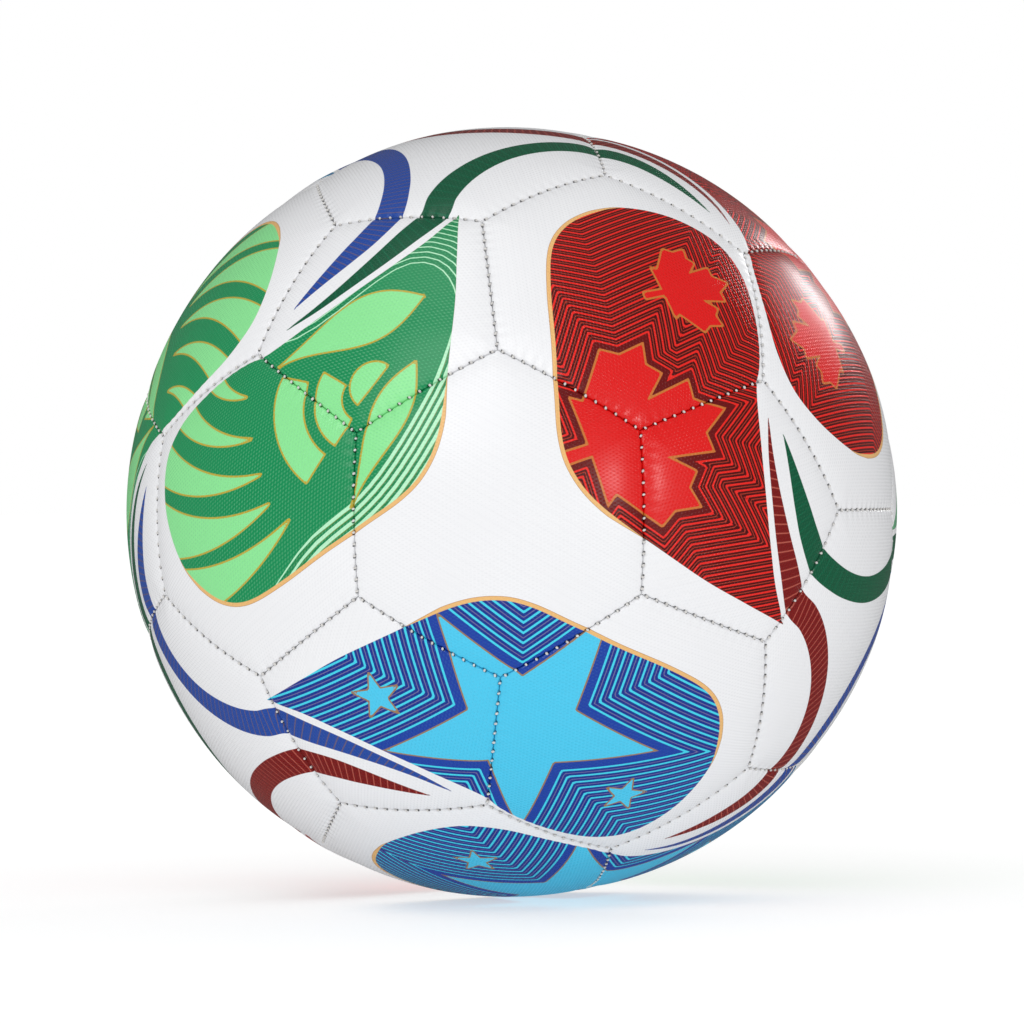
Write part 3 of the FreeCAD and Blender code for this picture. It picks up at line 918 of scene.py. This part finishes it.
white_hex = Panel(AXES @ WHITE_HEX, 6)
band_hex = Panel(AXES @ BAND_HEX, 6)
valve_hex = Panel(AXES @ BAND_HEX, 6, hole=NECK_HOLE)
colour_hex = Panel(AXES @ COLOUR_HEX, 6)
pentagon = Panel(AXES @ PENTAGON, 5)

near_pairs = np.linalg.norm(CORNERS[:, None] - CORNERS[None], axis=2) < 1.01 * EDGE_CHORD
seam_ends = [(a, b) for a, b in zip(*np.nonzero(near_pairs)) if a < b]
between_hexagons = set(seam_ends)

for number, turns, rotation in TURNS:
    if turns == 0:
        white_hex.place(f"white_cover_{number}", rotation, 0, f"white_hex_panel_{number}", "white_cover")
        banded = valve_hex if number == 1 else band_hex
        banded.place(f"band_cover_{number}", rotation, 0, f"band_hex_panel_{number}", "band_cover")
    colour = COLOURS[turns]
    slot = f"{colour}_cover"
    colour_hex.place(f"{colour}_hex_cover_{number}", rotation, turns, f"{colour}_hex_panel_{number}", slot)
    pentagon.place(f"{colour}_pent_cover_{number}", rotation, turns, f"{colour}_pent_panel_{number}", slot)
    middle = rotation @ FIRST_PENTAGON
    own = set(np.argsort(-(CORNERS @ middle))[:5])
    ring = [pair for pair in seam_ends if set(pair) <= own]
    between_hexagons -= set(ring)
    add_stitches(f"{colour}_pent_stitches_{number}", ring, f"{colour}_pent_seam_thread_{number}")
add_stitches("hex_stitches", sorted(between_hexagons), "hex_seam_threads")

FOAM = foam_finish()
BACKING = woven_finish()
BUTYL = rubber_finish("butyl_rubber", paint(0.13, 0.13, 0.14), paint(0.20, 0.20, 0.21), 0.55)
VALVE_RUBBER = rubber_finish("valve_rubber", paint(0.86, 0.86, 0.86), paint(0.93, 0.93, 0.93), 0.45)
PLUG_RUBBER = rubber_finish("plug_rubber", paint(0.12, 0.12, 0.13), paint(0.22, 0.22, 0.23), 0.5)
for node in ("hex_foam_pads", "pent_foam_pads"):
    dress(node, FOAM)
for node in ("hex_linings", "pent_linings"):
    dress(node, BACKING)
for node in ("bladder", "valve_patch"):
    dress(node, BUTYL)
dress("valve_sleeve", VALVE_RUBBER)
dress("valve_plug", PLUG_RUBBER)


# ---- The stage: floor, lights and camera ----

FLOOR_FADE = (0.05, 0.35)                              # metres: where its even white starts, and over what
FLOOR_HALF = 30.0                                      # metres from the middle to each side
FLOOR_NEAR = paint(0.76, 0.76, 0.76)                   # its colour and its glow close to the ball
CAMERA_DISTANCE = 14.17 * BALL * MM
CAMERA_LENS = 191.7                                    # on a 36 mm wide sensor
CAMERA_TURN = (0.227, -0.496, -2.021)                  # small turn of the ball in the camera's axes, degrees


def add_floor():
    """A pale floor at the ball's lowest point. Beyond the ball's shadow it fades to an even white."""
    height = cad_box[0].z
    corners = [(x * FLOOR_HALF, y * FLOOR_HALF, height) for x, y in ((-1, -1), (1, -1), (1, 1), (-1, 1))]
    mesh = bpy.data.meshes.new("floor")
    mesh.from_pydata(corners, [], [(0, 1, 2, 3)])
    floor = bpy.data.objects.new("floor", mesh)
    bpy.context.scene.collection.objects.link(floor)
    m = Finish("pale_floor")
    x, y, _ = m.axes_of(m.place())
    far = (((x * x + y * y).math("SQRT") - FLOOR_FADE[0]) / FLOOR_FADE[1]).clamp()
    m.feed(m.shader.inputs["Base Color"], m.mix(far, FLOOR_NEAR, paint(0.3, 0.3, 0.3)))
    m.feed(m.shader.inputs["Roughness"], 0.9)
    m.feed(m.shader.inputs["Emission Color"], m.mix(far, FLOOR_NEAR, paint(1.0, 1.0, 1.0)))
    m.shader.inputs["Emission Strength"].default_value = 1.0
    mesh.materials.append(m.material)
    floor.visible_glossy = False


def add_light(name, place, size, watts):
    """A soft box at place, facing the ball."""
    light = bpy.data.lights.new(name, "AREA")
    light.shape = "SQUARE"
    light.size = size
    light.energy = watts
    lamp = bpy.data.objects.new(name, light)
    back = unit(np.array(place))
    side = unit(np.cross((0.0, 0.0, 1.0), back))
    axes = np.array((side, np.cross(back, side), back)).T
    lamp.matrix_world = Matrix([[*row, at] for row, at in zip(axes, place)] + [[0, 0, 0, 1]])
    bpy.context.scene.collection.objects.link(lamp)


def add_sky(strength, reflected):
    """Even white light all round. The camera sees it as plain white, and reflections see it dimmed, as in
    a room with dark flags between its lamps."""
    world = bpy.data.worlds.new("studio_white")
    bpy.context.scene.world = world
    world.use_nodes = True
    tree = world.node_tree
    ground = tree.nodes["Background"]
    path = tree.nodes.new("ShaderNodeLightPath")
    levels = [tree.nodes.new("ShaderNodeMix") for _ in range(2)]
    for level, ray, other in zip(levels, ("Is Glossy Ray", "Is Camera Ray"), (reflected, 1.0)):
        tree.links.new(path.outputs[ray], level.inputs[0])
        level.inputs[3].default_value = other
    levels[0].inputs[2].default_value = strength
    tree.links.new(levels[0].outputs[0], levels[1].inputs[2])
    tree.links.new(levels[1].outputs[0], ground.inputs["Strength"])
    ground.inputs["Color"].default_value = (1, 1, 1, 1)


def add_camera():
    """Looks along +Y at the ball, with the ball's small turn taken off the camera instead."""
    a, b, c = np.radians(CAMERA_TURN)
    angle = float(np.linalg.norm((a, b, c)))
    turn = Matrix.Rotation(-angle, 4, (a / angle, b / angle, c / angle))
    camera = bpy.data.cameras.new("camera")
    camera.lens = CAMERA_LENS
    camera.sensor_width = 36.0
    camera.clip_end = 100.0
    camera.dof.use_dof = False
    held = bpy.data.objects.new("camera", camera)
    level = Matrix(((1, 0, 0, 0), (0, 0, -1, -CAMERA_DISTANCE), (0, 1, 0, 0), (0, 0, 0, 1)))
    held.matrix_world = turn @ level
    bpy.context.scene.collection.objects.link(held)
    bpy.context.scene.camera = held


add_floor()
add_sky(strength=0.62, reflected=0.10)
add_light("front_box", (-0.55, -1.8, 1.25), size=1.4, watts=11.0)
add_light("top_box", (-0.5, -0.5, 2.2), size=1.2, watts=4.0)
add_light("right_box", (1.23, -1.78, 0.33), size=0.24, watts=3.6)
add_light("back_box", (1.03, 1.67, 0.76), size=0.36, watts=4.0)
add_camera()
bpy.context.scene.view_settings.view_transform = "Standard"
